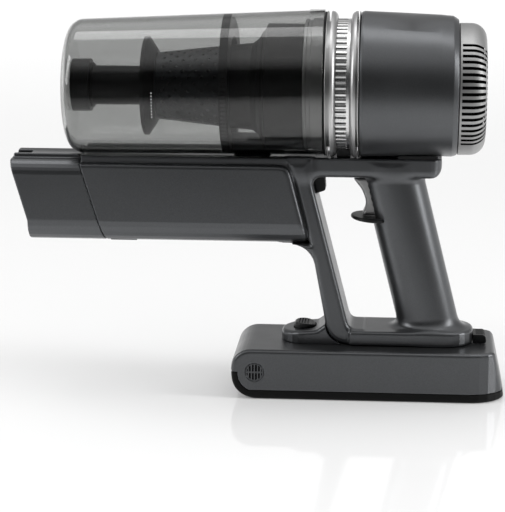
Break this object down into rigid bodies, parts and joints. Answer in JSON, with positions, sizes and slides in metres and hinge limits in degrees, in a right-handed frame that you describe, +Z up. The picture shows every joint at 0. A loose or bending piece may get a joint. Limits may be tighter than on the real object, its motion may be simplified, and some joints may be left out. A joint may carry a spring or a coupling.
{
  "type": "handheld vacuum",
  "caption": "Cordless handheld vacuum with a clear front dust cup over an intake duct, a rear motor head and a pistol grip loop standing on a slide-off battery pack.",
  "frame": {"origin": "centre of the rest face under the battery pack", "axes": "+X from the intake mouth towards the motor exhaust, +Y across, +Z up"},
  "size_m": [0.3585, 0.104, 0.2767],
  "materials": {
    "graphite": "graphite metallic paint, satin",
    "dark_plastic": "black moulded plastic",
    "rubber": "matt black rubber",
    "smoked_clear": "smoked transparent plastic",
    "chrome": "satin chrome plating",
    "bright_ribs": "bright silver plating",
    "silver_paint": "silver metallic paint",
    "perforated_steel": "dark perforated steel",
    "steel": "plain steel",
    "cell_wrap": "shrink wrap",
    "circuit_board": "green solder mask",
    "brass_contacts": "plated",
    "filter_media": "pleated paper and foam"
  },
  "bodies": {
    "body": {"bridge": "graphite", "charge_socket": "dark_plastic", "control_board": "circuit_board", "cup_saddle": "dark_plastic", "cup_seal": "rubber", "cyclone_flare": "dark_plastic", "cyclone_shroud": "perforated_steel", "dust_skirt": "dark_plastic", "end_cap": "dark_plastic", "exhaust_filter": "filter_media", "fan_motor": "steel", "filter_frame": "dark_plastic", "filter_rim": "chrome", "fine_dust_tube": "dark_plastic", "foot_bar": "graphite", "front_bead": "chrome", "front_bearing": "steel", "handle_left": "graphite", "handle_right": "graphite", "handle_screws": "steel", "head_core": "dark_plastic", "inlet_catch": "dark_plastic", "inlet_collar": "graphite", "intake_duct": "graphite", "motor_cradle": "dark_plastic", "motor_housing": "graphite", "motor_mount": "rubber", "pleated_filter": "filter_media", "rear_bead": "chrome", "rear_bearing": "steel", "rear_grille": "silver_paint", "strut": "graphite", "trigger_guard": "dark_plastic", "trigger_pin": "steel", "trigger_switch": "dark_plastic"},
    "battery": {"foot_pad": "rubber", "battery_case": "graphite", "battery_lid": "graphite", "battery_cells": "cell_wrap", "cell_carrier": "dark_plastic", "battery_board": "circuit_board", "battery_rail": "dark_plastic", "battery_contacts": "brass_contacts", "side_vents": "dark_plastic", "release_pod": "graphite"},
    "battery_button": {"release_button": "dark_plastic"},
    "dust_cup": {"dust_cup": "smoked_clear", "cup_boss": "dark_plastic", "tube_seal": "rubber", "cup_baffle": "dark_plastic", "inlet_block": "dark_plastic", "cup_tab": "smoked_clear"},
    "inlet_flap": {"inlet_flap": "rubber"},
    "lock_ring": {"lock_ring": "bright_ribs"},
    "trigger": {"trigger": "silver_paint"},
    "release_lever": {"cup_release_lever": "dark_plastic"},
    "wand_button": {"wand_release": "graphite"},
    "mode_button": {"mode_button": "dark_plastic"},
    "rotor": {"rotor_shaft": "steel", "impeller": "dark_plastic"}
  },
  "joints": [
    {"name": "battery_slide", "type": "slide", "parent": "body", "child": "battery", "axis": [-1, 0, 0], "range_m": [0, 0.2]},
    {"name": "battery_button_press", "type": "slide", "parent": "battery", "child": "battery_button", "axis": [0, 0, -1], "range_m": [0, 0.002], "stiffness_N_per_m": 900, "springref_m": -0.0012},
    {"name": "dust_cup_slide", "type": "slide", "parent": "body", "child": "dust_cup", "axis": [-1, 0, 0], "range_m": [0, 0.19]},
    {"name": "inlet_flap_swing", "type": "hinge", "parent": "dust_cup", "child": "inlet_flap", "pos_m": [-0.102, 0, 0.1834], "axis": [0, 1, 0], "range_deg": [0, 40], "stiffness_Nm_per_rad": 0.01, "springref_deg": -11.46},
    {"name": "lock_ring_turn", "type": "hinge", "parent": "body", "child": "lock_ring", "pos_m": [-0.0181, 0, 0.2237], "axis": [1, 0, 0], "range_deg": [0, 20]},
    {"name": "trigger_pull", "type": "hinge", "parent": "body", "child": "trigger", "pos_m": [0.0046, 0, 0.1544], "axis": [0, -1, 0], "range_deg": [0, 5], "stiffness_Nm_per_rad": 0.8, "springref_deg": -4.58},
    {"name": "release_lever_press", "type": "slide", "parent": "body", "child": "release_lever", "axis": [-1, 0, 0], "range_m": [0, 0.0025], "stiffness_N_per_m": 900, "springref_m": -0.0012},
    {"name": "wand_button_press", "type": "slide", "parent": "body", "child": "wand_button", "axis": [0, 0, 1], "range_m": [0, 0.002], "stiffness_N_per_m": 900, "springref_m": -0.0012},
    {"name": "mode_button_press", "type": "slide", "parent": "body", "child": "mode_button", "axis": [-1, 0, 0], "range_m": [0, 0.0008], "stiffness_N_per_m": 900, "springref_m": -0.001},
    {"name": "rotor_spin", "type": "hinge", "parent": "body", "child": "rotor", "pos_m": [0, 0, 0.221], "axis": [1, 0, 0], "continuous": true}
  ]
}
